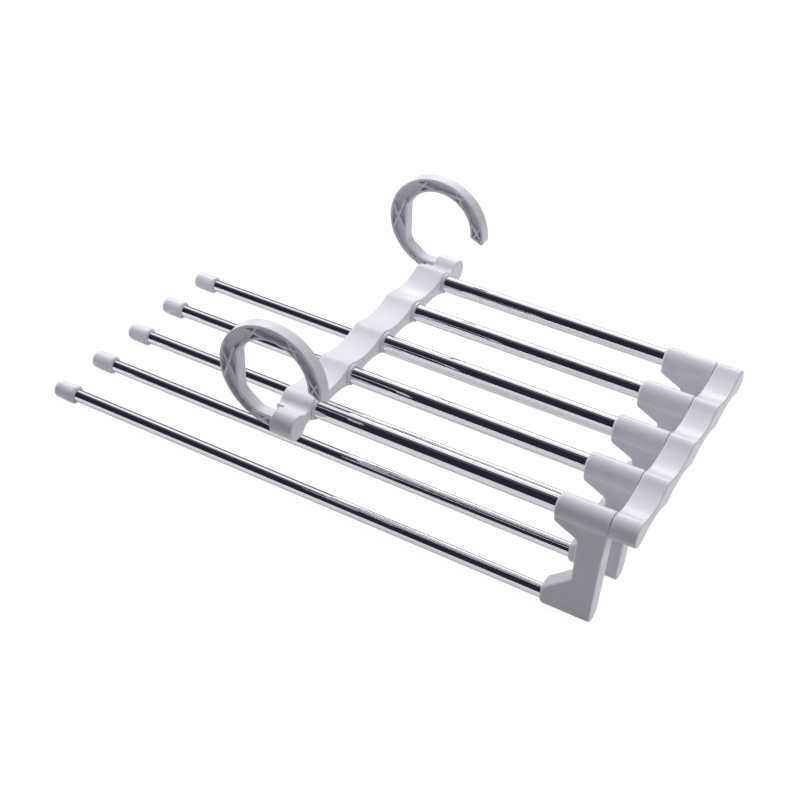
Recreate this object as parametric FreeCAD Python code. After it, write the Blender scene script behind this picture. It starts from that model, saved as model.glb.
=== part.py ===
import FreeCAD, Part
import math
import os

from FreeCAD import Vector

# Multi-tier trouser hanger. X runs along the bars, Y along the two rails, Z is up.
# The origin lies on the axis of the closet rod, midway between the two hooks. Millimetres.

# Tiers, numbered from the back
tier_count = 5
tier_pitch = 37.0
tier_drop = 66.0

# Stainless tubes
upper_tube_dia = 10.0
upper_tube_wall = 0.8
upper_tube_reach = 148.0
lower_tube_dia = 8.0
lower_tube_wall = 0.6
lower_tube_length = 360.0

# Rails, with a knuckle round each upper tube and a drawn-in neck between two knuckles
knuckle_wall = 2.2
neck_draw = 3.7
rail_edge_radius = 0.9
mid_rail_width = 19.5
outer_rail_width = 15.0
socket_end_wall = 4.0
collar_wall = 1.2
collar_height = 1.4

# Hook hubs at both ends of the mid rail, a little below the tubes' axis
hub_reach = 18.0
hub_drop = 1.8
hub_wall = 4.2
hub_hollow_radius = 5.0
hub_end_wall = 4.0
hub_set_back = 5.0
journal_dia = 7.0
journal_bead_height = 0.45
journal_bead_width = 1.6
journal_chamfer = 0.6

# Hooks: an open ring of channel section with a flat back, stiffened by crossed ribs
throat_radius = 22.5
rod_to_hub = 2.1
back_set_out = 0.0
back_top_rise = 7.0
back_foot_drop = 19.5
ring_back_width = 12.3
ring_top_width = 8.4
ring_tip_width = 9.2
shank_height = 8.0
shank_length = 10.05
bend_run = 11.5
throat_bend_radius = 8.0
hook_thickness = 7.6
hook_edge_radius = 0.8
tip_inner_angle = -4.0
tip_outer_angle = -6.0
tip_corner_radius = 1.6
rim_width = 1.6
web_thickness = 2.6

# Crosses in the hooks: angle round the ring and length along it, and one on the shank
ring_crosses = ((5.0, 11.0), (60.0, 11.0), (115.0, 12.0), (184.0, 24.0))
shank_cross_run = 7.5
shank_cross_length = 13.0
cross_rib_width = 1.3

# Swing brackets: a sleeve on the upper tube, a web, and a foot that holds the lower tube
sleeve_length = 30.4
sleeve_blend_radius = 8.0
sleeve_bead_height = 0.35
sleeve_bead_width = 2.0
bracket_web_width = 16.4
bracket_lean = 3.2
bracket_edge_radius = 1.9
bracket_back_radius = 1.0
throat_lip_drop = 7.5
throat_top_drop = 14.8
throat_foot_rise = 22.8
throat_corner_radius = 3.0
foot_wall = 2.0
foot_lead = 2.7
foot_nose_lip = 1.6
foot_nose_radius = 2.5
foot_end_wall = 8.0

# End caps
cap_wall = 2.0
cap_taper = 0.3
cap_depth = 12.0
cap_end_wall = 4.0
cap_end_radius = 2.6
cap_mouth_radius = 1.7

# Clearances
seat_gap = 0.03
pivot_gap = 0.06
side_gap = 0.35

# Radii and places that follow from the sizes
upper_radius = upper_tube_dia / 2
lower_radius = lower_tube_dia / 2
knuckle_radius = upper_radius + knuckle_wall
journal_radius = journal_dia / 2
hub_radius = journal_radius + hub_wall
foot_radius = lower_radius + foot_wall
cap_radius = lower_radius + cap_wall
tier_y = [((tier_count - 1) / 2 - i) * tier_pitch for i in range(tier_count)]
hub_y = tier_y[0] + hub_reach
hub_z = -(throat_radius + rod_to_hub + hub_radius)
axis_z = hub_z + hub_drop
bar_z = axis_z - tier_drop
back_x = -(throat_radius + back_set_out)
shank_end = back_x + bend_run + shank_length
hub_left = shank_end + side_gap
mid_left = hub_left - hub_set_back
mid_right = mid_left + mid_rail_width
journal_end = mid_right - hub_end_wall
sleeve_left = mid_right + upper_tube_reach
sleeve_right = sleeve_left + sleeve_length
outer_left = sleeve_right + side_gap
outer_right = outer_left + outer_rail_width
web_left = sleeve_right - bracket_web_width
foot_left = sleeve_left - foot_lead
foot_right = sleeve_right - bracket_lean
bar_right = foot_right - foot_end_wall
bar_left = bar_right - lower_tube_length
cap_mouth = bar_left + cap_depth
cap_end = bar_left - cap_end_wall
along_x = Vector(1, 0, 0)
along_y = Vector(0, 1, 0)


def rod_x(radius, x0, x1, y, z):
    return Part.makeCylinder(radius, x1 - x0, Vector(x0, y, z), along_x)


def line(a, b):
    return Part.LineSegment(a, b).toShape()


def arc(a, b, c):
    return Part.Arc(a, b, c).toShape()


def turned(section, y, z):
    # section: (x, radius) corners, turned about an axis along X
    corners = [Vector(x, y, z + r) for x, r in section]
    face = Part.Face(Part.makePolygon(corners + corners[:1]))
    return face.revolve(Vector(0, y, z), along_x, 360)


def ringed(x0, x1, radius, middle, height, width):
    # Outline of a shaft or bore with a bead (height > 0) or a groove (height < 0) round it
    slope = abs(height)
    return [
        (x0, radius),
        (middle - width / 2 - slope, radius),
        (middle - width / 2, radius + height),
        (middle + width / 2, radius + height),
        (middle + width / 2 + slope, radius),
        (x1, radius),
    ]


def closed(outline):
    return [(outline[0][0], 0)] + outline + [(outline[-1][0], 0)]


def toward(centre, target, radius):
    return centre + (target - centre).normalize() * radius


# Rails
def hollow_radius(half_neck):
    # Radius of the hollow between two tiers that touches both knuckles and leaves half a neck
    excess = (tier_pitch / 2) ** 2 + half_neck ** 2 - knuckle_radius ** 2
    return excess / (2 * (knuckle_radius - half_neck))


def hollow_centre(centre1, radius1, centre2, radius2, radius, up):
    span = centre2 - centre1
    reach = radius1 + radius
    along = (reach ** 2 - (radius2 + radius) ** 2 + span.Length ** 2) / (2 * span.Length)
    beside = Vector(0, -span.z, span.y).normalize() * (up * math.sqrt(reach ** 2 - along ** 2))
    return toward(centre1, centre2, along) + beside


def arc_points(centre, radius, first, last):
    return first, toward(centre, (first + last) / 2, radius), last


def wavy_side(knuckles, hollows, up):
    # One side of a rail, over each knuckle and through each hollow; up is 1 above and -1 below
    start = knuckles[0][0] - along_y * knuckles[0][1]
    arcs = []
    for (centre1, radius1), (centre2, radius2), radius in zip(knuckles, knuckles[1:], hollows):
        centre = hollow_centre(centre1, radius1, centre2, radius2, radius, up)
        leave = toward(centre1, centre, radius1)
        land = toward(centre2, centre, radius2)
        arcs.append(arc_points(centre1, radius1, start, leave))
        arcs.append(arc_points(centre, radius, leave, land))
        start = land
    centre, radius = knuckles[-1]
    arcs.append(arc_points(centre, radius, start, centre + along_y * radius))
    return arcs


def wavy_face(knuckles, hollows):
    # knuckles: (centre, radius) from low y to high y; hollows: the radii between them
    over = wavy_side(knuckles, hollows, 1)
    under = [(c, b, a) for a, b, c in reversed(wavy_side(knuckles, hollows, -1))]
    return Part.Face(Part.Wire([arc(*points) for points in over + under]))


def rail_body(knuckles, hollows, x0, x1):
    face = wavy_face(knuckles, hollows)
    face.translate(Vector(x0, 0, axis_z))
    return face.extrude(along_x * (x1 - x0))


def round_rims(solid):
    rims = [e for e in solid.Edges if e.BoundBox.XLength < 1e-6 and e.Curve.TypeId == "Part::GeomCircle"]
    return solid.makeFillet(rail_edge_radius, rims)


def tier_knuckles():
    return [(Vector(0, y, 0), knuckle_radius) for y in reversed(tier_y)]


def tier_hollows():
    return [hollow_radius(knuckle_radius - neck_draw)] * (tier_count - 1)


def make_mid_rail():
    front, back = [(Vector(0, y, -hub_drop), hub_radius) for y in (-hub_y, hub_y)]
    knuckles = [front] + tier_knuckles() + [back]
    hollows = [hub_hollow_radius] + tier_hollows() + [hub_hollow_radius]
    body = rail_body(knuckles, hollows, mid_left, mid_right)
    for low_y in (-hub_y - hub_radius, hub_y - hub_radius):
        corner = Vector(mid_left, low_y, hub_z - 2 * hub_radius)
        body = body.cut(Part.makeBox(hub_set_back, 2 * hub_radius, 4 * hub_radius, corner))
    body = round_rims(body)
    collar_end = mid_right + collar_height
    for y in tier_y:
        body = body.fuse(rod_x(upper_radius + collar_wall, mid_right - collar_height, collar_end, y, axis_z))
        socket = rod_x(upper_radius + seat_gap, mid_left + socket_end_wall, collar_end, y, axis_z)
        body = body.cut(socket)
    bore = ringed(
        hub_left, journal_end + side_gap, journal_radius + pivot_gap,
        (hub_left + journal_end) / 2, journal_bead_height, journal_bead_width + 2 * pivot_gap,
    )
    for y in (-hub_y, hub_y):
        body = body.cut(turned(closed(bore), y, hub_z))
    return body


def make_outer_rail():
    body = rail_body(tier_knuckles(), tier_hollows(), outer_left, outer_right)
    body = round_rims(body)
    for y in tier_y:
        body = body.cut(rod_x(upper_radius + seat_gap, outer_left, outer_right - socket_end_wall, y, axis_z))
    return body


# Tubes
def make_upper_tube(y):
    x0 = mid_left + socket_end_wall + seat_gap
    x1 = outer_right - socket_end_wall - seat_gap
    middle = (sleeve_left + sleeve_right) / 2
    skin = ringed(x0, x1, upper_radius, middle, -sleeve_bead_height, sleeve_bead_width)
    inside = [(x, r - upper_tube_wall) for x, r in reversed(skin)]
    return turned(skin + inside, y, axis_z)


def make_lower_tube(y):
    skin = rod_x(lower_radius, bar_left, bar_right, y, bar_z)
    return skin.cut(rod_x(lower_radius - lower_tube_wall, bar_left, bar_right, y, bar_z))


# Brackets
def bracket_section(y):
    # The sleeve's circle, hollow blends into the web's sides, and a round foot about the lower tube
    x = foot_left
    sleeve = Vector(x, y, axis_z)
    aside = foot_radius + sleeve_blend_radius
    drop = math.sqrt((knuckle_radius + sleeve_blend_radius) ** 2 - aside ** 2)
    edges = []
    tips = []
    for side in (-1, 1):
        hollow = Vector(x, y + side * aside, axis_z - drop)
        neck = toward(sleeve, hollow, knuckle_radius)
        side_top = Vector(x, y + side * foot_radius, axis_z - drop)
        side_low = Vector(x, y + side * foot_radius, bar_z)
        edges.append([arc(*arc_points(hollow, sleeve_blend_radius, neck, side_top)), line(side_top, side_low)])
        tips.append((neck, side_low))
    over = arc(tips[0][0], Vector(x, y, axis_z + knuckle_radius), tips[1][0])
    under = arc(tips[1][1], Vector(x, y, bar_z - foot_radius), tips[0][1])
    return Part.Face(Part.Wire([over] + edges[1] + [under] + edges[0][::-1]))


def bracket_body(y):
    # The section run along the bar, met by a side outline with an open throat
    low = bar_z - 2 * foot_radius
    high = axis_z + 2 * knuckle_radius
    outline = [
        Vector(sleeve_left, y, high),
        Vector(sleeve_left, y, axis_z - throat_lip_drop),
        Vector(web_left, y, axis_z - throat_top_drop),
        Vector(web_left, y, bar_z + throat_foot_rise),
        Vector(foot_left, y, bar_z + foot_radius + foot_nose_lip),
        Vector(foot_left, y, low),
        Vector(foot_right, y, low),
        Vector(foot_right, y, bar_z - foot_radius),
        Vector(sleeve_right, y, axis_z + knuckle_radius),
        Vector(sleeve_right, y, high),
    ]
    side = Part.Face(Part.makePolygon(outline + outline[:1]))
    side.translate(along_y * -2 * knuckle_radius)
    slab = side.extrude(along_y * 4 * knuckle_radius)
    return slab.common(bracket_section(y).extrude(along_x * (sleeve_right - foot_left)))


def throat_corners(plate):
    found = []
    for e in plate.Edges:
        box = e.BoundBox
        across = box.XLength < 1e-6 and box.ZLength < 1e-6
        if across and min(abs(box.XMin - web_left), abs(box.XMin - sleeve_left)) < 1e-6:
            found.append(e)
    return found


def back_rims(plate):
    # Round the leaning face beside the outer rail
    return [e for e in plate.Edges if e.BoundBox.XMin > foot_right - 1e-6]


def front_rims(plate):
    # Every other outer edge but the seams along the section and the throat's corners
    found = []
    for e in plate.Edges:
        box = e.BoundBox
        seam = box.ZLength < 1e-6 and box.YLength < 1e-6
        corner = box.XLength < 1e-6 and box.ZLength < 1e-6 and box.XMin > foot_left + 1e-6
        in_throat = box.XMin > foot_left + 1e-6 and bar_z < box.ZMin and box.ZMax < axis_z - knuckle_radius
        at_back = box.XMin > foot_right - 1e-6
        if not (seam or corner or at_back or (in_throat and box.YLength > foot_radius)):
            found.append(e)
    return found


def nose_rims(plate):
    at_nose = [e for e in plate.Edges if e.BoundBox.XMax < foot_left + 1e-6]
    return at_nose


def make_bracket(y):
    plate = bracket_body(y)
    plate = plate.makeFillet(throat_corner_radius, throat_corners(plate))
    plate = plate.makeFillet(foot_nose_radius, nose_rims(plate))
    plate = plate.makeFillet(bracket_edge_radius, front_rims(plate))
    body = plate.makeFillet(bracket_back_radius, back_rims(plate))
    bore = ringed(
        sleeve_left, sleeve_right, upper_radius + pivot_gap,
        (sleeve_left + sleeve_right) / 2, -sleeve_bead_height, sleeve_bead_width - 2 * pivot_gap,
    )
    body = body.cut(turned(closed(bore), y, axis_z))
    return body.cut(rod_x(lower_radius + seat_gap, foot_left, bar_right + seat_gap, y, bar_z))


# End caps
def make_end_cap(y):
    skin = [(cap_end, cap_radius - cap_taper), (cap_mouth, cap_radius)]
    body = turned(closed(skin), y, bar_z)
    for x, radius in ((cap_end, cap_end_radius), (cap_mouth, cap_mouth_radius)):
        rim = [e for e in body.Edges if e.BoundBox.XLength < 1e-6 and abs(e.BoundBox.XMin - x) < 1e-6]
        body = body.makeFillet(radius, rim)
    return body.cut(rod_x(lower_radius + seat_gap, bar_left - seat_gap, cap_mouth, y, bar_z))


# Hooks
def at_angle(radius, degrees):
    turn = math.radians(degrees)
    return Vector(radius * math.cos(turn), 0, radius * math.sin(turn))


def outer_circle():
    radius = throat_radius + (back_set_out + ring_back_width + ring_tip_width) / 2
    x = throat_radius + ring_tip_width - radius
    return Vector(x, 0, throat_radius + ring_top_width - radius), radius


def outer_reach(degrees):
    # Distance from the rod's axis to the ring's outer edge
    centre, radius = outer_circle()
    along = at_angle(1, degrees).dot(centre)
    return along + math.sqrt(along ** 2 - centre.dot(centre) + radius ** 2)


def touch_angle(point, centre, radius):
    # Where a line from a point outside touches a circle
    away = point - centre
    turn = math.atan2(away.z, away.x) - math.acos(radius / away.Length)
    return math.degrees(turn)


def throat_end_angle():
    return touch_angle(Vector(back_x, 0, back_top_rise), Vector(0, 0, 0), throat_radius)


def rounded(before, corner, after, radius):
    # Start, middle and end of the arc that rounds a corner
    u = (before - corner).normalize()
    v = (after - corner).normalize()
    half = u.getAngle(v) / 2
    reach = radius / math.tan(half)
    middle = corner + (u + v).normalize() * (radius / math.sin(half) - radius)
    return corner + u * reach, middle, corner + v * reach


def hook_face():
    shank_top = hub_z + shank_height / 2
    centre, radius = outer_circle()
    inner_tip = at_angle(throat_radius, tip_inner_angle)
    arc_end = at_angle(throat_radius, throat_end_angle())
    back_top = Vector(back_x, 0, back_top_rise)
    back_foot = Vector(back_x, 0, -back_foot_drop)
    shank_start = Vector(back_x + bend_run, 0, shank_top)
    end_top = Vector(shank_end, 0, shank_top)
    end_low = end_top - Vector(0, 0, shank_height)
    outer_start = centre + at_angle(radius, touch_angle(end_low, centre, radius))
    outer_tip = centre + at_angle(radius, tip_outer_angle)
    edges = [arc(inner_tip, at_angle(throat_radius, throat_end_angle() / 2), arc_end)]
    bends = [arc_end, back_top, back_foot, shank_start, end_top]
    start = arc_end
    for before, corner, after in zip(bends, bends[1:], bends[2:]):
        first, middle, last = rounded(before, corner, after, throat_bend_radius)
        edges.append(line(start, first))
        edges.append(arc(first, middle, last))
        start = last
    edges.append(line(start, end_top))
    edges.append(line(end_top, end_low))
    edges.append(line(end_low, outer_start))
    edges.append(arc(outer_start, centre + at_angle(radius, 135), outer_tip))
    edges.append(line(outer_tip, inner_tip))
    return Part.Face(Part.Wire(edges))


def cross_ribs(place, degrees, length, width):
    # Two crossed bars, as long as given along the ring and as wide across it, where degrees points
    reach = math.hypot(length, width)
    lean = math.degrees(math.atan2(length, width))
    bars = []
    for turn in (-lean, lean):
        corner = Vector(-reach / 2, -hook_thickness, -cross_rib_width / 2)
        bar = Part.makeBox(reach, 2 * hook_thickness, cross_rib_width, corner)
        bar.rotate(Vector(0, 0, 0), along_y, turn - degrees)
        bar.translate(place)
        bars.append(bar)
    return bars


def all_crosses():
    bars = []
    for degrees, length in ring_crosses:
        inside = throat_radius
        if degrees > throat_end_angle():
            inside = back_x / math.cos(math.radians(degrees))
        outside = outer_reach(degrees)
        place = at_angle((inside + outside) / 2, degrees)
        bars += cross_ribs(place, degrees, length, outside - inside - rim_width)
    shank_place = Vector(shank_end - shank_cross_run, 0, hub_z)
    return bars + cross_ribs(shank_place, 270, shank_cross_length, shank_height - rim_width)


def make_hook(y):
    face = hook_face()
    pocket_face = face.makeOffset2D(-rim_width)
    face.translate(along_y * (-hook_thickness / 2))
    body = face.extrude(along_y * hook_thickness)
    tip = [e for e in body.Edges if e.BoundBox.YLength > 1 and e.BoundBox.XMin > throat_radius / 2]
    body = body.makeFillet(tip_corner_radius, tip)
    rims = [e for e in body.Edges if e.BoundBox.YLength < 1e-6 and e.BoundBox.XLength > 1e-6]
    body = body.makeFillet(hook_edge_radius, rims)
    crosses = all_crosses()
    depth = (hook_thickness - web_thickness) / 2
    for start in (-hook_thickness / 2, web_thickness / 2):
        pocket = pocket_face.copy()
        pocket.translate(along_y * start)
        pocket = pocket.extrude(along_y * depth)
        body = body.cut(pocket.cut(crosses))
    journal = ringed(
        shank_end - 1, journal_end - journal_chamfer, journal_radius,
        (hub_left + journal_end) / 2, journal_bead_height, journal_bead_width,
    )
    journal.append((journal_end, journal_radius - journal_chamfer))
    body = body.fuse(turned(closed(journal), 0, hub_z))
    body.translate(along_y * y)
    return body


nodes = {"mid_rail": make_mid_rail(), "outer_rail": make_outer_rail()}
for number, y in enumerate(tier_y, 1):
    nodes[f"upper_tube_{number}"] = make_upper_tube(y)
    nodes[f"bracket_{number}"] = make_bracket(y)
    nodes[f"lower_tube_{number}"] = make_lower_tube(y)
    nodes[f"end_cap_{number}"] = make_end_cap(y)
nodes["hook_back"] = make_hook(hub_y)
nodes["hook_front"] = make_hook(-hub_y)

os.makedirs("parts", exist_ok=True)
for name, shape in nodes.items():
    shape.exportStep(f"parts/{name}.step")
    print(name, len(shape.Solids), shape.isValid(), round(shape.Volume, 1))
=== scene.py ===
import math

import bmesh
import bpy
from mathutils import Matrix, Vector


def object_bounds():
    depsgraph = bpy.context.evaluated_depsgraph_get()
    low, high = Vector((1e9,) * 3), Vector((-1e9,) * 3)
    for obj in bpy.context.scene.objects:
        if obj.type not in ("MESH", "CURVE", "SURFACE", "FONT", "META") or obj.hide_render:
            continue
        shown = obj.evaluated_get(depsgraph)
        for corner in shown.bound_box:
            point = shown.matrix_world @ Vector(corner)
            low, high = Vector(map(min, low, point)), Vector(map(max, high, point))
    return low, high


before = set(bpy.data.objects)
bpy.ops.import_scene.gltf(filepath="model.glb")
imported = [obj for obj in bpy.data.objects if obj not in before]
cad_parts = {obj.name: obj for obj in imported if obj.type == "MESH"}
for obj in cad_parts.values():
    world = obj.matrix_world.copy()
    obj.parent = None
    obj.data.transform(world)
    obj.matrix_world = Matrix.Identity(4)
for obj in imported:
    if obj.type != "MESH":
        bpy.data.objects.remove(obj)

cadLow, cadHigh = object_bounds()
scene = bpy.context.scene
scene.view_settings.view_transform = "Standard"
print("frame loaded:", len(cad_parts), "nodes")


# camera

view = {
    "azimuth": 29.031,       # degrees, from the front round to the right
    "elevation": 38.38,      # degrees above the horizon
    "roll": 1.768,           # degrees
    "distance": 0.80312,     # metres, from the origin on the rod's axis
    "slideRight": 0.02238,   # metres, in the picture's plane
    "slideUp": -0.0622,
    "lens": 62.08,           # millimetres
    "sensor": 36,
    "clipStart": 0.01,
}


def addCamera():
    azimuth = math.radians(view["azimuth"])
    elevation = math.radians(view["elevation"])
    roll = math.radians(view["roll"])
    flat = math.cos(elevation)
    back = Vector((
        math.sin(azimuth) * flat,
        -math.cos(azimuth) * flat,
        math.sin(elevation),
    ))
    right = Vector((math.cos(azimuth), math.sin(azimuth), 0))
    up = back.cross(right)
    place = (
        back * view["distance"]
        + right * view["slideRight"]
        + up * view["slideUp"]
    )
    rolledRight = right * math.cos(roll) + up * math.sin(roll)
    rolledUp = up * math.cos(roll) - right * math.sin(roll)
    turn = Matrix((rolledRight, rolledUp, back)).transposed()
    data = bpy.data.cameras.new("photoCamera")
    data.lens = view["lens"]
    data.sensor_width = view["sensor"]
    data.clip_start = view["clipStart"]
    camera = bpy.data.objects.new("photoCamera", data)
    camera.matrix_world = Matrix.Translation(place) @ turn.to_4x4()
    scene.collection.objects.link(camera)
    scene.camera = camera


addCamera()
print("camera placed")


# node helpers

noise = {
    "roughness": 0.55,
    "low": 0.3,    # most of a noise lies between low and high
    "high": 0.7,
}


def setSockets(node, values):
    for socket, value in values.items():
        node.inputs[socket].default_value = value


def addNode(tree, kind, sockets=None, **settings):
    node = tree.nodes.new(kind)
    for key, value in settings.items():
        setattr(node, key, value)
    setSockets(node, sockets or {})
    return node


def newMaterial(name):
    material = bpy.data.materials.new(name)
    material.use_nodes = True
    return material, material.node_tree


def emptyMaterial(name):
    material, tree = newMaterial(name)
    tree.nodes.clear()
    out = addNode(tree, "ShaderNodeOutputMaterial")
    return material, tree, out.inputs["Surface"]


def noiseOn(tree, scale, detail, stretch=(1, 1, 1)):
    coords = addNode(tree, "ShaderNodeTexCoord")
    mapping = addNode(tree, "ShaderNodeMapping", {"Scale": stretch})
    texture = addNode(tree, "ShaderNodeTexNoise", {
        "Scale": scale,
        "Detail": detail,
        "Roughness": noise["roughness"],
    })
    tree.links.new(coords.outputs["Object"], mapping.inputs["Vector"])
    tree.links.new(mapping.outputs["Vector"], texture.inputs["Vector"])
    return texture.outputs["Fac"]


def rampOf(tree, factor, low, high):
    ramp = addNode(tree, "ShaderNodeValToRGB")
    first, last = ramp.color_ramp.elements
    first.position = noise["low"]
    first.color = (*low, 1)
    last.position = noise["high"]
    last.color = (*high, 1)
    tree.links.new(factor, ramp.inputs["Fac"])
    return ramp.outputs["Color"]


def rangeOf(tree, factor, low, high):
    span = addNode(tree, "ShaderNodeMapRange", {
        "From Min": noise["low"],
        "From Max": noise["high"],
        "To Min": low,
        "To Max": high,
    })
    tree.links.new(factor, span.inputs["Value"])
    return span.outputs["Result"]


def bumpOf(tree, height, strength, depth, below=None):
    bump = addNode(tree, "ShaderNodeBump", {"Strength": strength, "Distance": depth})
    tree.links.new(height, bump.inputs["Height"])
    if below is not None:
        tree.links.new(below, bump.inputs["Normal"])
    return bump.outputs["Normal"]


# white moulded plastic

plastic = {
    "pale": (0.90, 0.885, 0.95),
    "deep": (0.85, 0.835, 0.905),
    "mottle": {"scale": 90, "detail": 4},     # clouds about a centimetre across
    "sink": {"scale": 45, "detail": 1},       # broad sink marks of the moulding
    "grain": {"scale": 1600, "detail": 2},    # fine moulded skin
    "polish": (0.30, 0.42),                   # roughness over the grain
    "sinkBump": (0.2, 0.0008),                # strength, and depth in metres
    "grainBump": (0.05, 0.0001),
    "sockets": {"IOR": 1.5, "Coat Weight": 0.45, "Coat Roughness": 0.2},
}


def mouldedPlastic(name):
    material, tree = newMaterial(name)
    shader = tree.nodes["Principled BSDF"]
    mottle = noiseOn(tree, **plastic["mottle"])
    sink = noiseOn(tree, **plastic["sink"])
    grain = noiseOn(tree, **plastic["grain"])
    colour = rampOf(tree, mottle, plastic["deep"], plastic["pale"])
    polish = rangeOf(tree, grain, *plastic["polish"])
    broad = bumpOf(tree, sink, *plastic["sinkBump"])
    fine = bumpOf(tree, grain, *plastic["grainBump"], below=broad)
    tree.links.new(colour, shader.inputs["Base Color"])
    tree.links.new(polish, shader.inputs["Roughness"])
    tree.links.new(fine, shader.inputs["Normal"])
    setSockets(shader, plastic["sockets"])
    return material


# polished steel tube

steel = {
    "bright": (0.86, 0.86, 0.88),
    "dull": (0.76, 0.76, 0.79),
    "drawn": {"scale": 1, "detail": 3, "stretch": (2, 700, 700)},  # lines along the tubes
    "haze": {"scale": 60, "detail": 3},
    "polish": (0.02, 0.06),        # roughness over the haze
    "drawnBump": (0.05, 0.00005),  # strength, and depth in metres
    "sockets": {
        "Metallic": 1,
        "Specular Tint": (0.45, 0.45, 0.48, 1),  # darkens the tubes' edges
    },
}


def polishedSteel(name):
    material, tree = newMaterial(name)
    shader = tree.nodes["Principled BSDF"]
    drawn = noiseOn(tree, **steel["drawn"])
    haze = noiseOn(tree, **steel["haze"])
    colour = rampOf(tree, drawn, steel["dull"], steel["bright"])
    polish = rangeOf(tree, haze, *steel["polish"])
    fine = bumpOf(tree, drawn, *steel["drawnBump"])
    tree.links.new(colour, shader.inputs["Base Color"])
    tree.links.new(polish, shader.inputs["Roughness"])
    tree.links.new(fine, shader.inputs["Normal"])
    setSockets(shader, steel["sockets"])
    return material


# a node takes the finish whose key is part of its name
finishes = {
    "rail": mouldedPlastic("railPlastic"),
    "bracket": mouldedPlastic("bracketPlastic"),
    "cap": mouldedPlastic("capPlastic"),
    "hook": mouldedPlastic("hookPlastic"),
    "tube": polishedSteel("tubeSteel"),
}
for nodeName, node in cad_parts.items():
    kind = next(k for k in finishes if k in nodeName)
    node.data.materials.clear()
    node.data.materials.append(finishes[kind])
print("finishes on", len(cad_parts), "nodes")


# studio: white sky and floor, dark flags that only reflections see, soft lamps

sky = {
    "soft": {"Color": (0.96, 0.96, 1.0, 1), "Strength": 0.125},  # what falls on the object
    "white": {"Color": (1, 1, 1, 1), "Strength": 1},
    "shares": (1.0, 1.0),  # of white, for the camera and in reflections
}


def whiteForEyes(tree, cameraShare, glossyShare):
    path = addNode(tree, "ShaderNodeLightPath")
    seen = addNode(tree, "ShaderNodeMath", {1: cameraShare}, operation="MULTIPLY")
    tree.links.new(path.outputs["Is Camera Ray"], seen.inputs[0])
    both = addNode(tree, "ShaderNodeMath", {1: glossyShare}, operation="MULTIPLY_ADD")
    tree.links.new(path.outputs["Is Glossy Ray"], both.inputs[0])
    tree.links.new(seen.outputs[0], both.inputs[2])
    return both.outputs[0]


def mixOf(tree, factor, first, second):
    mix = addNode(tree, "ShaderNodeMixShader")
    tree.links.new(factor, mix.inputs["Fac"])
    tree.links.new(first.outputs[0], mix.inputs[1])
    tree.links.new(second.outputs[0], mix.inputs[2])
    return mix.outputs[0]


def addWorld():
    world = bpy.data.worlds.new("studioWorld")
    world.use_nodes = True
    scene.world = world
    tree = world.node_tree
    soft = tree.nodes["Background"]
    setSockets(soft, sky["soft"])
    white = addNode(tree, "ShaderNodeBackground", sky["white"])
    light = mixOf(tree, whiteForEyes(tree, *sky["shares"]), soft, white)
    tree.links.new(light, tree.nodes["World Output"].inputs["Surface"])


def flatSheet(name, corners):
    mesh = bpy.data.meshes.new(name)
    shape = bmesh.new()
    shape.faces.new([shape.verts.new(c) for c in corners])
    shape.to_mesh(mesh)
    shape.free()
    sheet = bpy.data.objects.new(name, mesh)
    scene.collection.objects.link(sheet)
    return sheet


floor = {
    "drop": 0.0004,          # metres below the lowest foot
    "size": 6.0,
    "paper": (0.66, 0.66, 0.68),
    "shares": (0.80, 0.45),  # of glow, for the camera and in reflections
    "level": (1.27, 1.18),   # strength of the glow far off, and round the object
    "fade": 1.3,             # metres from one to the other
}


def addFloor():
    half = floor["size"] / 2
    low = cadLow[2] - floor["drop"]
    sheet = flatSheet("studioFloor", [
        (-half, -half, low),
        (half, -half, low),
        (half, half, low),
        (-half, half, low),
    ])
    material, tree, surface = emptyMaterial("floorWhite")
    far, near = floor["level"]
    coords = addNode(tree, "ShaderNodeTexCoord")
    mapping = addNode(tree, "ShaderNodeMapping", {"Scale": (1 / floor["fade"],) * 3})
    halo = addNode(tree, "ShaderNodeTexGradient", gradient_type="SPHERICAL")
    level = addNode(tree, "ShaderNodeMapRange", {"To Min": far, "To Max": near})
    paper = addNode(tree, "ShaderNodeBsdfDiffuse", {"Color": (*floor["paper"], 1)})
    glow = addNode(tree, "ShaderNodeEmission")
    tree.links.new(coords.outputs["Object"], mapping.inputs["Vector"])
    tree.links.new(mapping.outputs["Vector"], halo.inputs["Vector"])
    tree.links.new(halo.outputs["Fac"], level.inputs["Value"])
    tree.links.new(level.outputs["Result"], glow.inputs["Strength"])
    share = whiteForEyes(tree, *floor["shares"])
    tree.links.new(mixOf(tree, share, paper, glow), surface)
    sheet.data.materials.append(material)


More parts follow.
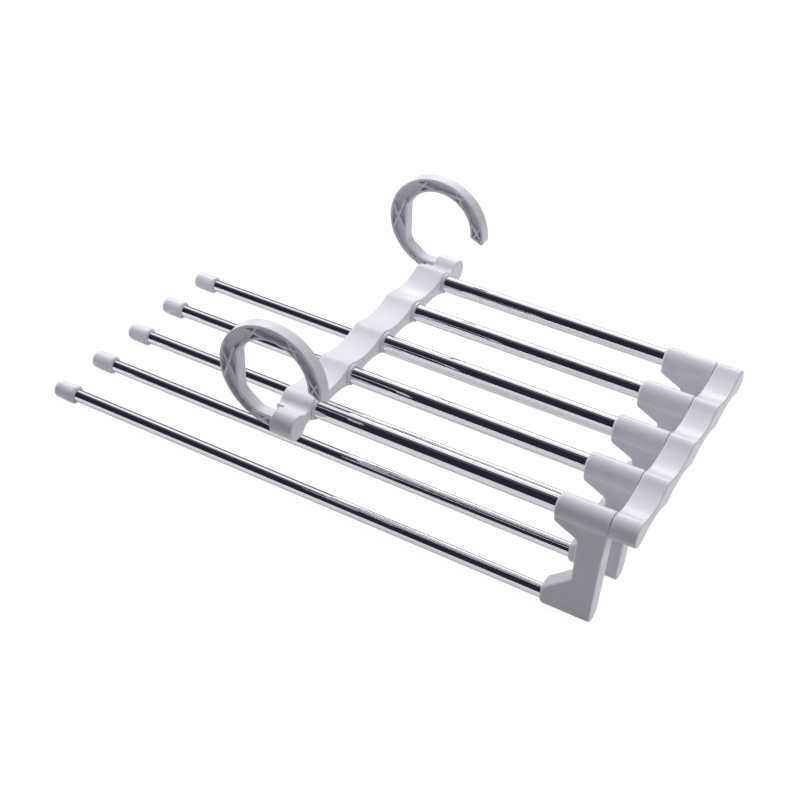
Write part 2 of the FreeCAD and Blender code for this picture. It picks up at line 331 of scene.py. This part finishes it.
flagReach = 2.5  # metres to either side, along X
flags = {        # upper and lower edge as y, z
    "darkRoom": {    # in front, past the camera
        "upper": (-0.25, 1.40), "lower": (-1.60, -0.02), "colour": (0.022, 0.022, 0.034),
    },
    "backCard": {    # low, behind the object
        "upper": (2.0, 0.85), "lower": (2.0, -0.10), "colour": (0.03, 0.03, 0.045),
    },
    "greyCeiling": {  # level, overhead
        "upper": (0.46, 1.40), "lower": (-0.25, 1.40), "colour": (0.1, 0.1, 0.12),
    },
}


def addFlag(name, upper, lower, colour):
    flag = flatSheet(name, [
        (-flagReach, *upper),
        (flagReach, *upper),
        (flagReach, *lower),
        (-flagReach, *lower),
    ])
    material, tree, surface = emptyMaterial(name)
    glow = addNode(tree, "ShaderNodeEmission", {"Color": (*colour, 1)})
    tree.links.new(glow.outputs[0], surface)
    flag.data.materials.append(material)
    flag.visible_camera = False
    flag.visible_diffuse = False
    flag.visible_shadow = False
    flag.visible_transmission = False


lampAim = (0.06, 0.0, -0.06)
lamps = {  # metres and watts
    "keySoftbox": {"place": (-0.91, 0.56, 0.70), "size": (0.8, 0.5), "power": 10.2},
    "backStrip": {
        "place": (-0.16, 1.25, 0.40), "size": (0.8, 0.4), "power": 3.2, "glints": True,
    },
    "topSoftbox": {"place": (-0.22, 0.06, 0.44), "size": (0.35, 0.35), "power": 1.0},
    "sideSoftbox": {"place": (1.22, 0.10, 0.61), "size": (0.8, 0.6), "power": 5.0},
}


def addLamp(name, place, size, power, glints=False):
    data = bpy.data.lights.new(name, "AREA")
    data.shape = "RECTANGLE"
    data.size, data.size_y = size
    data.energy = power
    lamp = bpy.data.objects.new(name, data)
    turn = (Vector(lampAim) - Vector(place)).to_track_quat("-Z", "Y").to_matrix()
    lamp.matrix_world = Matrix.Translation(place) @ turn.to_4x4()
    lamp.visible_glossy = glints
    scene.collection.objects.link(lamp)


addWorld()
addFloor()
for flagName, flag in flags.items():
    addFlag(flagName, **flag)
for lampName, lamp in lamps.items():
    addLamp(lampName, **lamp)
print("studio lit")
